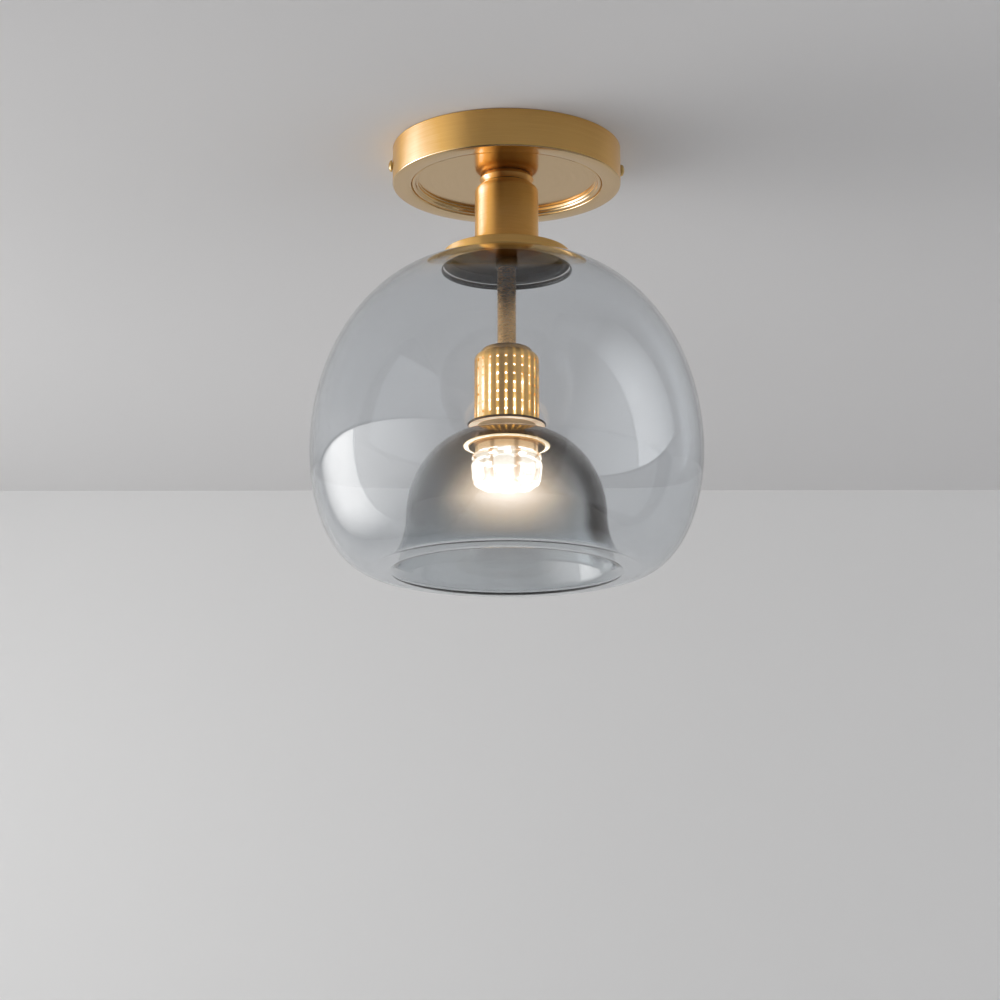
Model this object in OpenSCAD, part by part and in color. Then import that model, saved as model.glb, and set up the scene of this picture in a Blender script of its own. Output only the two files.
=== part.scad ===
// Glass ceiling light: a brushed brass canopy, a short neck, a flat cap and a smoke glass globe whose
// bottom turns in and up as a second glass dome around a lit lamp module.
// Millimetres. The origin is the middle of the ceiling contact plane and +Z points up, so all heights are
// negative. Names ending in _z are heights, _d diameters, _r radii, _h heights of a piece, _t thicknesses.

/* [Canopy] */
// diameter of the canopy drum
canopy_d = 120; // [118:0.5:121]
// height of the canopy drum
canopy_h = 20; // [19.5:0.1:21]
// thickness of the drum's side wall
canopy_wall_t = 1.2; // [1:0.1:1.4]
// thickness of the round plate that closes the drum
canopy_plate_t = 1.6; // [1.4:0.1:1.8]
// how deep the plate lies above the drum's lower rim
canopy_recess_h = 3.4; // [3:0.1:3.6]
// diameter of the opening inside the lower rim
canopy_recess_d = 100.2; // [98:0.2:101]

/* [Neck and cap] */
// diameter of the neck
neck_d = 33.4; // [32.6:0.2:34]
// height of the neck
neck_h = 40.8; // [40:0.2:41.4]
// wall of the neck
neck_wall_t = 2; // [1.6:0.1:2.4]
// diameter of the cap that closes the glass mouth
cap_d = 66.6; // [66.2:0.1:67]
// diameter of the cap's flat top
cap_flat_d = 65.4; // [64.6:0.1:65.8]
// thickness of the cap's top plate
cap_t = 1.4; // [1.2:0.1:1.6]
// thickness of the cap's skirt
cap_skirt_t = 1.2; // [1:0.1:1.3]
// how far the cap's skirt hangs below its flat top
cap_drop_h = 4.8; // [4.6:0.05:5]
// height of the dark ring that centres the glass mouth
mouth_ring_h = 4.6; // [4.4:0.1:5]

/* [Stem and holder] */
// diameter of the stem
stem_d = 9.8; // [9.6:0.1:10]
// diameter of the threaded nipple inside neck and stem
nipple_d = 8; // [7.8:0.1:8.2]
// bore of the nipple, where the leads run
nipple_bore_d = 6; // [5.6:0.1:6.2]
// height of the dark collar under the cap
collar_h = 6; // [5:0.5:7]
// diameter of the collar
collar_d = 11.4; // [11:0.2:12]
// diameter of the lamp holder
holder_d = 33.6; // [33:0.2:34]
// wall of the perforated sleeve
sleeve_t = 1.2; // [1:0.1:1.4]
// height of the top of the holder above its flange ring
holder_h = 40.6; // [40:0.2:41.4]
// diameter of the small domed cap on the holder
holder_cap_d = 27; // [26:0.2:27.4]
// height of the small domed cap
holder_cap_h = 3.3; // [3:0.1:3.6]
// columns of small holes round the sleeve
vent_columns = 24; // [20:2:26]
// rows of small holes
vent_rows = 7; // [6:1:8]
// diameter of one small hole
vent_d = 1.5; // [1.2:0.1:1.8]
// diameter of the flange ring under the holder
flange_d = 40.6; // [39:0.2:41.4]
// thickness of the flange ring
flange_t = 1; // [0.8:0.1:1.2]

/* [Glass] */
// largest diameter of the glass globe
globe_d = 202.6; // [200:0.2:204]
// thickness of the glass
glass_t = 2.2; // [2:0.1:2.4]
// diameter of the mouth at the top of the globe
mouth_d = 67.2; // [67:0.1:68]
// height from the widest level up to the top of the globe's curve
globe_upper_h = 101.6; // [101.4:0.05:101.7]
// height from the widest level down to the bottom edge
globe_lower_h = 63.2; // [62.6:0.2:64]
// largest diameter of the inner dome where its wall stands upright
dome_d = 102.8; // [101:0.2:104]
// height of the inner dome's curved top
dome_h = 45.6; // [44.6:0.2:46]
// diameter of the rounded rim's lowest line, where the globe turns in and up
rim_d = 119.1; // [118.6:0.1:119.6]
// diameter of the hole in the dome's top
dome_hole_d = 22.4; // [22:0.1:22.8]

/* [Lamp module] */
// diameter of the module's flange
module_flange_d = 39.6; // [39:0.2:40]
// outside diameter of the clear ring round the flange
glow_ring_d = 44.4; // [44:0.2:45]
// diameter of the threaded spigot that goes up through the glass
spigot_d = 20; // [19.6:0.1:20.2]
// largest diameter of the crystal lens
lens_d = 37; // [36:0.2:37.6]
// height of the crystal lens
lens_h = 21.3; // [20.6:0.1:21.6]
// number of flutes round the lens
lens_flutes = 8; // [6:1:10]

/* [Mounting] */
// distance between the two slots in the mounting bar
slot_spacing = 70; // [66:1:74]
// end to end length of a slot
slot_length = 16; // [12:1:18]
// width of a slot
slot_w = 5; // [4.5:0.1:5.5]
// width of the mounting bar
bar_w = 18; // [16:0.5:18]
// thickness of the mounting bar
bar_t = 2; // [1.6:0.1:2.2]
// diameter of the side screws' shafts
side_screw_d = 3.9; // [3.8:0.05:4]

/* [Hidden] */
$fn = 64;
curve_steps = 28;
small_gap = 0.3;
running_gap = 0.05;

canopy_r = canopy_d / 2;
plate_under_z = -canopy_h + canopy_recess_h;
plate_top_z = plate_under_z + canopy_plate_t;
canopy_in_r = canopy_r - canopy_wall_t;
rim_edge_r = 0.9;

neck_r = neck_d / 2;
neck_top_z = plate_under_z;
neck_bottom_z = neck_top_z - neck_h;
neck_round_r = 1.6;
neck_top_r = neck_r - 3.5;
neck_cone_z = neck_top_z - 3.4;
cap_top_z = neck_bottom_z;
cap_under_z = cap_top_z - cap_t;
cap_rim_z = cap_top_z - cap_drop_h;
cap_flat_r = cap_flat_d / 2;
cap_rim_r = cap_d / 2;
cap_edge_r = cap_rim_r - cap_flat_r;
skirt_in_r = cap_rim_r - cap_skirt_t;
mouth_ring_in_r = skirt_in_r - 2;
collar_bottom_z = cap_under_z - collar_h;

nipple_r = nipple_d / 2;
nipple_top_z = -7.6;
nipple_bottom_z = collar_bottom_z - 8;
washer_t = 0.8;
nut_h = 4;
stem_r = stem_d / 2;

flange_under_z = -150.4;
flange_top_z = flange_under_z + flange_t;
holder_top_z = flange_top_z + holder_h;
sleeve_top_z = holder_top_z - holder_cap_h;
sleeve_r = holder_d / 2;
sleeve_in_r = sleeve_r - sleeve_t;
sleeve_roof_t = 1.5;
shoulder_h = 4.3;
vent_turn = 10.5;
stem_nut_h = 4;
stem_bottom_z = sleeve_top_z - sleeve_roof_t - stem_nut_h;

dome_top_z = -152.5;
dome_r = dome_d / 2;
dome_level_z = dome_top_z - dome_h;
dome_flat_r = 10.4;
dome_hole_r = dome_hole_d / 2;
globe_r = globe_d / 2;
globe_level_z = -163.6;
globe_top_flat_r = 22.8;
globe_bottom_flat_r = 67.2;
globe_bottom_z = globe_level_z - globe_lower_h;
mouth_r = mouth_d / 2;
rim_r = rim_d / 2;
rim_low_z = globe_bottom_z - 0.8;
seam_r = 63.5;
seam_low_z = rim_low_z + 0.2;
seam_high_z = seam_low_z + glass_t;
bend_in_r = 3.9;
bend_out_r = bend_in_r + glass_t;
bend_z = rim_low_z + bend_out_r;
bend_angle = 19;
flare_end_r = rim_r - bend_in_r * cos(bend_angle);
flare_end_z = bend_z - bend_in_r * sin(bend_angle);
land_r = 15.5;
land_top_z = dome_curve_z(land_r, 0);
land_under_z = dome_curve_z(land_r, glass_t);

mouth_cut_z = globe_level_z + 0.88 * globe_upper_h;
shoulder_cut_z = globe_level_z + 0.64 * globe_upper_h;
belly_cut_z = globe_level_z - 0.55 * globe_lower_h;
crown_cut_z = dome_level_z + 0.7 * dome_h;
wall_cut_z = dome_level_z + 0.31 * dome_h;

spigot_r = spigot_d / 2;
spigot_top_z = flange_top_z + 9;
gasket_in_r = dome_hole_r + 0.3;
gasket_out_r = 15.2;
upper_gasket_h = flange_under_z - land_top_z;
lower_gasket_h = 1.2;
boss_top_z = land_under_z - lower_gasket_h;
module_flange_top_z = -160;
module_flange_t = 1.5;
module_under_z = module_flange_top_z - module_flange_t;
board_r = 14.2;
board_t = 1.6;
lens_cavity_r = 14.6;
lens_cavity_h = 5;
lens_r = lens_d / 2;

socket_wall_t = 2.6;
socket_bore_r = spigot_r + running_gap;
socket_r = socket_bore_r + socket_wall_t;
socket_foot_h = 2.4;
socket_top_z = spigot_top_z + 4.5;
contact_r = 1.2;
contact_x = 5;

screw_level_z = -10;
side_screw_r = side_screw_d / 2;
lug_out_x = canopy_in_r - 1.2;
lug_bottom_z = plate_top_z + 0.4;
head_r = 3.1;
head_h = 2;
head_x = canopy_r + small_gap;
earth_x = 18;
earth_screw_r = 1.6;
earth_head_r = 3.4;
earth_head_h = 2.2;
drive_slot_w = 0.8;

driver_l = 62;
driver_w = 24;
driver_h = 11;
driver_y = 16;
block_l = 34;
block_w = 16;
block_h = 11;
block_y = -18;
mains_x = 12;
mains_z = plate_top_z + 6;
lead_r = 0.7;
lead_x = 1.4;
lead_bend_r = 2.4;
mains_r = 0.9;
earth_bend_r = 3;
earth_rise_r = 2;
chip_w = 2.8;
chip_t = 0.7;
chip_circle_r = 9;
lens_neck_r = 16.2;
lens_neck_h = 4.1;
lens_collar_r = 17.8;
lens_notch_r = 16.5;
lens_notch_h = 6.9;
lens_shoulder_h = 9.5;
lens_foot_h = 16.1;
lens_chamfer = 1.2;
flute_r = 2.6;
flute_out = 1.7;

// Points on a quarter of an ellipse, from its end level with the middle to its end on the axis.
function quarter(mid_r, mid_z, wide, high, from, to) = [
    for (i = [0 : curve_steps])
        let (a = from + (to - from) * i / curve_steps)
        [mid_r + wide * cos(a), mid_z + high * sin(a)]
];

// The angle on the globe's upper curve at which its radius is the one given.
function upper_angle(r, off) = acos((r - globe_top_flat_r) / (globe_r - globe_top_flat_r - off));

// The height of the dome's curved top at a radius; in is how far inside the outer surface.
function dome_curve_z(r, in) = dome_level_z
    + (dome_h - in) * sqrt(1 - pow((r - dome_flat_r) / (dome_r - dome_flat_r - in), 2));

// The angle on the dome's curve at the radius where its flat land ends.
function land_angle(in) = acos((land_r - dome_flat_r) / (dome_r - dome_flat_r - in));

// The flare of the inner dome, from its upright wall down to the rounded rim.
function flare(in) = [
    for (i = [1 : curve_steps])
        let (u = i / curve_steps)
        [dome_r - in + (flare_end_r - dome_r) * pow(u, 1.9),
         dome_level_z + (flare_end_z - dome_level_z) * u]
];

function backwards(list) = [for (i = [len(list) - 1 : -1 : 0]) list[i]];

// A ring between two radii, hung down from a height.
module ring(outer, inner, top_z, h) {
    translate([0, 0, top_z - h])
        difference() {
            cylinder(r = outer, h = h);
            translate([0, 0, -1])
                cylinder(r = inner, h = h + 2);
        }
}

// A hexagonal nut hung down from a height.
module hex_nut(across, bore_r, top_z, h) {
    translate([0, 0, top_z - h])
        difference() {
            cylinder(r = across / sqrt(3), h = h, $fn = 6);
            translate([0, 0, -1])
                cylinder(r = bore_r, h = h + 2, $fn = 48);
        }
}

module mounting_bar() {
    color("silver")
        difference() {
            union() {
                translate([-lug_out_x, -bar_w / 2, -bar_t])
                    cube([2 * lug_out_x, bar_w, bar_t]);
                for (side = [-1, 1])
                    translate([side > 0 ? lug_out_x - bar_t : -lug_out_x, -bar_w / 2, lug_bottom_z])
                        cube([bar_t, bar_w, -lug_bottom_z - bar_t / 2]);
            }
            for (side = [-1, 1])
                translate([side * slot_spacing / 2, 0, -bar_t - 1])
                    slot();
            translate([0, 0, -bar_t - 1])
                cylinder(r = 8, h = bar_t + 2);
            translate([earth_x, 0, -bar_t - 1])
                cylinder(r = earth_screw_r, h = bar_t + 2, $fn = 32);
            translate([-lug_out_x - 1, 0, screw_level_z])
                rotate([0, 90, 0])
                    cylinder(r = side_screw_r + running_gap, h = 2 * lug_out_x + 2, $fn = 32);
        }
}

module slot() {
    end_x = (slot_length - slot_w) / 2;
    for (side = [-1, 1])
        translate([side * end_x, 0, 0])
            cylinder(r = slot_w / 2, h = bar_t + 2, $fn = 32);
    translate([-end_x, -slot_w / 2, 0])
        cube([2 * end_x, slot_w, bar_t + 2]);
}

module earth_screw() {
    color("gold")
        difference() {
            union() {
                translate([earth_x, 0, -bar_t])
                    cylinder(r = earth_screw_r, h = bar_t, $fn = 32);
                translate([earth_x, 0, -bar_t - earth_head_h])
                    cylinder(r = earth_head_r, h = earth_head_h, $fn = 32);
            }
            translate([earth_x - earth_head_r, -drive_slot_w / 2, -bar_t - earth_head_h - 1])
                cube([2 * earth_head_r, drive_slot_w, 1.8]);
        }
}

module terminal_block() {
    color("ivory")
        difference() {
            translate([-block_l / 2, block_y - block_w, plate_top_z])
                cube([block_l, block_w, block_h]);
            for (x = [-mains_x, 0, mains_x]) {
                translate([x, block_y - block_w / 2, plate_top_z + 3])
                    cylinder(r = 2, h = block_h, $fn = 32);
                translate([x, block_y - block_w - 1, mains_z])
                    rotate([-90, 0, 0])
                        cylinder(r = 1.4, h = block_w / 2 + 1, $fn = 32);
            }
            for (x = [-mains_x / 2, mains_x / 2])
                translate([x - 0.75, block_y - block_w - 1, plate_top_z + 6])
                    cube([1.5, block_w + 2, block_h]);
        }
}

module terminal_screws() {
    color("silver")
        for (x = [-mains_x, 0, mains_x])
            translate([x, block_y - block_w / 2, plate_top_z + 3])
                difference() {
                    cylinder(r = 2, h = 5, $fn = 32);
                    translate([-3, -0.4, 4])
                        cube([6, 0.8, 2]);
                }
}

module led_driver() {
    color("whitesmoke")
        difference() {
            translate([-driver_l / 2, driver_y, plate_top_z])
                cube([driver_l, driver_w, driver_h]);
            for (side = [-1, 1])
                translate([side * driver_l / 2, driver_y + driver_w / 2, plate_top_z + 2])
                    cylinder(r = 3, h = driver_h, $fn = 32);
        }
}

module mains_lead(x) {
    translate([x, block_y, mains_z])
        rotate([-90, 0, 0])
            cylinder(r = mains_r, h = driver_y - block_y, $fn = 24);
}

module mains_live_lead() {
    color("brown")
        mains_lead(-mains_x);
}

module mains_neutral_lead() {
    color("blue")
        mains_lead(mains_x);
}

// From the terminal block's end face, round a bend and up to the earth screw's head.
module earth_lead() {
    start_x = block_l / 2;
    end_x = earth_x;
    bend = earth_bend_r;
    run_y = block_y - block_w / 2;
    side_x = end_x + bend;
    low_z = mains_z;
    top_z = -bar_t - earth_head_h;
    rise = earth_rise_r;
    color("green") {
        translate([start_x, run_y, low_z])
            rotate([0, 90, 0])
                cylinder(r = mains_r, h = side_x - start_x, $fn = 24);
        translate([side_x, run_y + bend, low_z])
            rotate([0, 0, -90])
                rotate_extrude(angle = 90, $fn = 48)
                    translate([bend, 0])
                        circle(r = mains_r, $fn = 24);
        translate([side_x + bend, run_y + bend, low_z])
            rotate([-90, 0, 0])
                cylinder(r = mains_r, h = -run_y - 2 * bend, $fn = 24);
        translate([side_x, -bend, low_z])
            rotate_extrude(angle = 90, $fn = 48)
                translate([bend, 0])
                    circle(r = mains_r, $fn = 24);
        translate([end_x + rise, 0, low_z])
            rotate([0, 90, 0])
                cylinder(r = mains_r, h = side_x - end_x - rise, $fn = 24);
        translate([end_x + rise, 0, low_z + rise])
            rotate([90, 0, 0])
                rotate([0, 0, 180])
                    rotate_extrude(angle = 90, $fn = 48)
                        translate([rise, 0])
                            circle(r = mains_r, $fn = 24);
        translate([end_x, 0, low_z + rise])
            cylinder(r = mains_r, h = top_z - low_z - rise, $fn = 24);
    }
}

// From the lamp socket up through stem and nipple, then round a bend to the driver.
module led_lead(x) {
    top_z = -4.4;
    translate([x, 0, socket_top_z])
        cylinder(r = lead_r, h = top_z - lead_bend_r - socket_top_z, $fn = 24);
    translate([x, lead_bend_r, top_z - lead_bend_r])
        rotate([90, 0, -90])
            rotate_extrude(angle = 90, $fn = 48)
                translate([lead_bend_r, 0])
                    circle(r = lead_r, $fn = 24);
    translate([x, lead_bend_r, top_z])
        rotate([-90, 0, 0])
            cylinder(r = lead_r, h = driver_y - lead_bend_r, $fn = 24);
}

module led_lead_positive() {
    color("red")
        led_lead(lead_x);
}

module led_lead_negative() {
    color("black")
        led_lead(-lead_x);
}

// The spun drum: side wall, lower rim, a double step and the recessed plate.
module canopy() {
    recess_r = canopy_recess_d / 2;
    step_r = recess_r - 2.6;
    plate_r = recess_r - 3.4;
    step_z = plate_under_z - 1.6;
    color("goldenrod")
        difference() {
            rotate_extrude($fn = 128)
                polygon(concat(
                    [[0, plate_under_z], [plate_r, plate_under_z], [plate_r, step_z + 0.5]],
                    [[plate_r + 0.3, step_z], [step_r, step_z], [step_r + 0.8, step_z - 0.4]],
                    [[recess_r - 0.5, step_z - 0.4], [recess_r, -canopy_h + 0.5]],
                    [[recess_r + 0.5, -canopy_h], [canopy_r - rim_edge_r, -canopy_h]],
                    [[canopy_r - rim_edge_r * 0.3, -canopy_h + rim_edge_r * 0.3]],
                    [[canopy_r, -canopy_h + rim_edge_r], [canopy_r, 0], [canopy_in_r, 0]],
                    [[canopy_in_r, plate_top_z], [0, plate_top_z]]));
            translate([0, 0, -canopy_h])
                cylinder(r = nipple_r, h = canopy_h, $fn = 48);
            translate([-canopy_r - 1, 0, screw_level_z])
                rotate([0, 90, 0])
                    cylinder(r = side_screw_r + small_gap, h = canopy_d + 2, $fn = 32);
        }
}

// A pan head screw that points inwards along X; its head stands outside the drum.
module side_screw() {
    color("goldenrod")
        translate([head_x, 0, screw_level_z])
            rotate([0, 90, 0])
                difference() {
                    union() {
                        translate([0, 0, -8.6])
                            cylinder(r = side_screw_r, h = 8.6, $fn = 32);
                        rotate_extrude($fn = 48)
                            polygon(concat([[0, 0], [head_r, 0]],
                                quarter(0, 0.4, head_r, head_h - 0.4, 0, 90)));
                    }
                    translate([-0.4, -head_r - 1, head_h - 0.8])
                        cube([0.8, 2 * head_r + 2, 1]);
                }
}

module side_screw_right() {
    side_screw();
}

module side_screw_left() {
    rotate([0, 0, 180])
        side_screw();
}

module nipple() {
    color("silver")
        ring(nipple_r, nipple_bore_d / 2, nipple_top_z, nipple_top_z - nipple_bottom_z);
}

module nipple_nut() {
    color("silver")
        hex_nut(13, nipple_r, plate_top_z + washer_t + nut_h, nut_h);
}

module lock_washer() {
    color("gray")
        ring(8, nipple_r, plate_top_z + washer_t, washer_t);
}

// The neck stands on the cap; its top end is rounded in, stepped and then narrows up to the canopy.
module neck() {
    color("goldenrod")
        difference() {
            rotate_extrude($fn = 96)
                polygon(concat(
                    [[0, neck_bottom_z], [neck_r, neck_bottom_z]],
                    quarter(neck_r - neck_round_r, neck_top_z - 6.6, neck_round_r, 3, 0, 80),
                    [[neck_r - neck_round_r - 0.1, neck_cone_z]],
                    [[neck_top_r, neck_top_z - 0.4], [neck_top_r - 0.4, neck_top_z]],
                    [[0, neck_top_z]]));
            translate([0, 0, neck_bottom_z - 1])
                cylinder(r = neck_r - neck_wall_t, h = neck_h - 7, $fn = 96);
            translate([0, 0, neck_bottom_z - 1])
                cylinder(r = nipple_r, h = neck_h + 2, $fn = 48);
        }
}

// A spun cap: flat top, small rounded edge and an upright skirt that ends just over the glass mouth.
module shade_cap() {
    color("goldenrod")
        difference() {
            rotate_extrude($fn = 128)
                polygon(concat(
                    [[0, cap_top_z]],
                    backwards(quarter(cap_flat_r, cap_top_z - cap_edge_r, cap_edge_r, cap_edge_r, 0, 90)),
                    [[cap_rim_r, cap_rim_z], [skirt_in_r, cap_rim_z], [skirt_in_r, cap_under_z]],
                    [[0, cap_under_z]]));
            translate([0, 0, cap_under_z - 1])
                cylinder(r = nipple_r, h = cap_t + 2, $fn = 48);
        }
}

// The dark ring inside the cap's skirt; its lip lies under the skirt and centres the glass mouth.
module mouth_ring() {
    lip_r = mouth_r - small_gap;
    low_z = cap_under_z - mouth_ring_h;
    color("dimgray")
        rotate_extrude($fn = 128)
            polygon([[mouth_ring_in_r, cap_under_z], [skirt_in_r, cap_under_z], [skirt_in_r, cap_rim_z],
                [lip_r, cap_rim_z], [lip_r, low_z], [mouth_ring_in_r, low_z]]);
}

module stem_collar() {
    color("dimgray")
        ring(collar_d / 2, nipple_r, cap_under_z, collar_h);
}

module stem() {
    color("peru")
        ring(stem_r, nipple_r, collar_bottom_z, collar_bottom_z - stem_bottom_z);
}

module stem_nut() {
    color("silver")
        hex_nut(14, stem_r, sleeve_top_z - sleeve_roof_t, stem_nut_h);
}

module holder_cap() {
    cap_r = holder_cap_d / 2;
    edge_r = 4.2;
    color("goldenrod")
        difference() {
            rotate_extrude($fn = 96)
                polygon(concat(
                    [[0, sleeve_top_z], [cap_r - 0.4, sleeve_top_z], [cap_r, sleeve_top_z + 0.4]],
                    quarter(cap_r - edge_r, sleeve_top_z + 0.5, edge_r, holder_cap_h - 0.5, 0, 90),
                    [[0, holder_top_z]]));
            translate([0, 0, sleeve_top_z - 1])
                cylinder(r = stem_r, h = holder_cap_h + 2, $fn = 48);
        }
}

// The perforated sleeve: rounded shoulder, roof and open bottom.
module holder_sleeve() {
    shoulder_r = 3.4;
    first_z = flange_top_z + 4;
    pitch = (sleeve_top_z - shoulder_h - first_z - 1) / (vent_rows - 1);
    color("goldenrod")
        difference() {
            rotate_extrude($fn = 128)
                polygon(concat(
                    [[sleeve_in_r, flange_top_z], [sleeve_r, flange_top_z]],
                    quarter(sleeve_r - shoulder_r, sleeve_top_z - shoulder_h, shoulder_r,
                        shoulder_h, 0, 90),
                    [[stem_r, sleeve_top_z], [stem_r, sleeve_top_z - sleeve_roof_t]],
                    [[sleeve_in_r - shoulder_r, sleeve_top_z - sleeve_roof_t]],
                    [[sleeve_in_r, sleeve_top_z - shoulder_h]]));
            for (row = [0 : vent_rows - 1])
                for (column = [0 : vent_columns - 1])
                    rotate([0, 0, column * 360 / vent_columns + vent_turn])
                        translate([sleeve_in_r - 1, 0, first_z + row * pitch])
                            rotate([0, 90, 0])
                                cylinder(r = vent_d / 2, h = sleeve_t + 2, $fn = 16);
        }
}

module sleeve_liner() {
    color("khaki")
        ring(sleeve_in_r, sleeve_in_r - 0.8, sleeve_top_z - shoulder_h - 0.5,
            sleeve_top_z - shoulder_h - 0.5 - flange_top_z - socket_foot_h);
}

// The ceramic socket that the module's spigot screws into from below.
module lamp_socket() {
    color("white")
        difference() {
            union() {
                translate([0, 0, flange_top_z])
                    cylinder(r = sleeve_in_r, h = socket_foot_h, $fn = 96);
                translate([0, 0, flange_top_z])
                    cylinder(r = socket_r, h = socket_top_z - flange_top_z, $fn = 64);
            }
            translate([0, 0, flange_top_z - 1])
                cylinder(r = socket_bore_r, h = spigot_top_z + 2 - flange_top_z + 1, $fn = 64);
            for (side = [-1, 1])
                translate([side * contact_x, 0, flange_top_z])
                    cylinder(r = contact_r, h = socket_top_z - flange_top_z + 1, $fn = 32);
        }
}

// Two contacts in the socket's roof, each with an arm above it that meets its lead.
module socket_contacts() {
    color("gold")
        for (side = [-1, 1]) {
            translate([side * contact_x, 0, spigot_top_z + small_gap])
                cylinder(r = contact_r, h = socket_top_z - spigot_top_z - small_gap, $fn = 32);
            translate([side > 0 ? lead_x + lead_r : -contact_x, -contact_r, socket_top_z])
                cube([contact_x - lead_x - lead_r, 2 * contact_r, 0.8]);
        }
}

module flange_ring() {
    color("goldenrod")
        ring(flange_d / 2, socket_bore_r, flange_top_z, flange_t);
}

module upper_gasket() {
    color("dimgray")
        ring(gasket_out_r, gasket_in_r, flange_under_z, upper_gasket_h);
}

// The globe's wall from its mouth down to the lowest line of the rounded rim.
module globe_glass() {
    in_h = globe_upper_h - glass_t;
    in_r = globe_r - glass_t;
    rotate_extrude($fn = 160)
        polygon(concat(
            quarter(globe_top_flat_r, globe_level_z, globe_r - globe_top_flat_r, globe_upper_h,
                upper_angle(mouth_r, 0), 0),
            quarter(globe_bottom_flat_r, globe_level_z, globe_r - globe_bottom_flat_r,
                globe_lower_h, -3, -90),
            [[seam_r, seam_low_z], [seam_r, seam_high_z]],
            backwards(quarter(globe_bottom_flat_r, globe_level_z, in_r - globe_bottom_flat_r,
                globe_lower_h - glass_t, -3, -90)),
            backwards(quarter(globe_top_flat_r, globe_level_z, in_r - globe_top_flat_r, in_h,
                upper_angle(mouth_r, glass_t), 0))));
}

// The dome's wall from its clamped top down to the rounded rim, where it joins the globe.
module dome_glass() {
    rotate_extrude($fn = 160)
        polygon(concat(
            [[dome_hole_r, land_under_z], [dome_hole_r, land_top_z]],
            backwards(quarter(dome_flat_r, dome_level_z, dome_r - dome_flat_r, dome_h,
                0, land_angle(0))),
            flare(0),
            quarter(rim_r, bend_z, bend_in_r, bend_in_r, 180 + bend_angle + 3, 270),
            [[seam_r, seam_high_z], [seam_r, seam_low_z]],
            quarter(rim_r, bend_z, bend_out_r, bend_out_r, 270, 180 + bend_angle + 3),
            backwards(flare(glass_t)),
            quarter(dome_flat_r, dome_level_z, dome_r - dome_flat_r - glass_t,
                dome_h - glass_t, 0, land_angle(glass_t))));
}

// A slab that cuts one level band out of the glass.
module level_band(high_z, low_z) {
    translate([0, 0, low_z])
        cylinder(r = globe_r + 2, h = high_z - low_z);
}

module globe_mouth() {
    color([0.5, 0.55, 0.6, 0.4])
        intersection() {
            globe_glass();
            level_band(0, mouth_cut_z);
        }
}

module globe_shoulder() {
    color([0.5, 0.55, 0.6, 0.4])
        intersection() {
            globe_glass();
            level_band(mouth_cut_z, shoulder_cut_z);
        }
}

module globe_belly() {
    color([0.5, 0.55, 0.6, 0.4])
        intersection() {
            globe_glass();
            level_band(shoulder_cut_z, belly_cut_z);
        }
}

module globe_bottom() {
    color([0.5, 0.55, 0.6, 0.4])
        intersection() {
            globe_glass();
            level_band(belly_cut_z, rim_low_z - 1);
        }
}

module dome_crown() {
    color([0.4, 0.45, 0.5, 0.5])
        intersection() {
            dome_glass();
            level_band(0, crown_cut_z);
        }
}

module dome_wall() {
    color([0.4, 0.45, 0.5, 0.5])
        intersection() {
            dome_glass();
            level_band(crown_cut_z, wall_cut_z);
        }
}

module dome_skirt() {
    color([0.4, 0.45, 0.5, 0.5])
        intersection() {
            dome_glass();
            level_band(wall_cut_z, rim_low_z - 1);
        }
}

module lower_gasket() {
    color("dimgray")
        ring(gasket_out_r, gasket_in_r, land_under_z, lower_gasket_h);
}

// The lamp module's turned housing: spigot, boss and flange.
module module_housing() {
    color("peru")
        difference() {
            union() {
                translate([0, 0, module_under_z])
                    cylinder(r = spigot_r, h = spigot_top_z - module_under_z, $fn = 64);
                translate([0, 0, module_under_z])
                    cylinder(r = gasket_out_r + 0.3, h = boss_top_z - module_under_z, $fn = 64);
                translate([0, 0, module_under_z])
                    cylinder(r = module_flange_d / 2, h = module_flange_t, $fn = 96);
            }
            translate([0, 0, module_under_z - 1])
                cylinder(r = 3, h = 60, $fn = 32);
        }
}

module glow_ring() {
    color("lightyellow")
        ring(glow_ring_d / 2, module_flange_d / 2, module_flange_top_z + 0.2, module_flange_t + 0.4);
}

module led_board() {
    color("white")
        translate([0, 0, module_under_z - board_t])
            cylinder(r = board_r, h = board_t, $fn = 64);
}

module led_chips() {
    top_z = module_under_z - board_t;
    color("yellow") {
        translate([-chip_w / 2, -chip_w / 2, top_z - chip_t])
            cube([chip_w, chip_w, chip_t]);
        for (i = [0 : 7])
            rotate([0, 0, i * 45])
                translate([chip_circle_r - chip_w / 2, -chip_w / 2, top_z - chip_t])
                    cube([chip_w, chip_w, chip_t]);
    }
}

// The solid crystal lens: neck, thin collar, notch and fluted body.
module crystal_lens() {
    top_z = module_under_z;
    low_z = top_z - lens_h;
    neck_z = top_z - lens_neck_h;
    notch_z = top_z - lens_notch_h;
    color("white")
        difference() {
            rotate_extrude($fn = 96)
                polygon([[0, top_z], [lens_neck_r, top_z], [lens_neck_r, neck_z],
                    [lens_collar_r - 0.2, neck_z - 0.2], [lens_collar_r, notch_z + 1],
                    [lens_notch_r, notch_z], [lens_collar_r - 0.2, notch_z - 0.6],
                    [lens_r, top_z - lens_shoulder_h], [lens_r - 0.5, top_z - lens_foot_h],
                    [lens_neck_r + 1, low_z + lens_chamfer], [lens_neck_r, low_z], [0, low_z]]);
            translate([0, 0, top_z - lens_cavity_h])
                cylinder(r = lens_cavity_r, h = lens_cavity_h + 1, $fn = 64);
            for (i = [0 : lens_flutes - 1])
                rotate([0, 0, (i + 0.5) * 360 / lens_flutes - 90])
                    translate([lens_r + flute_out, 0, low_z - 1])
                        cylinder(r = flute_r, h = lens_h - lens_notch_h, $fn = 32);
        }
}

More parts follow.
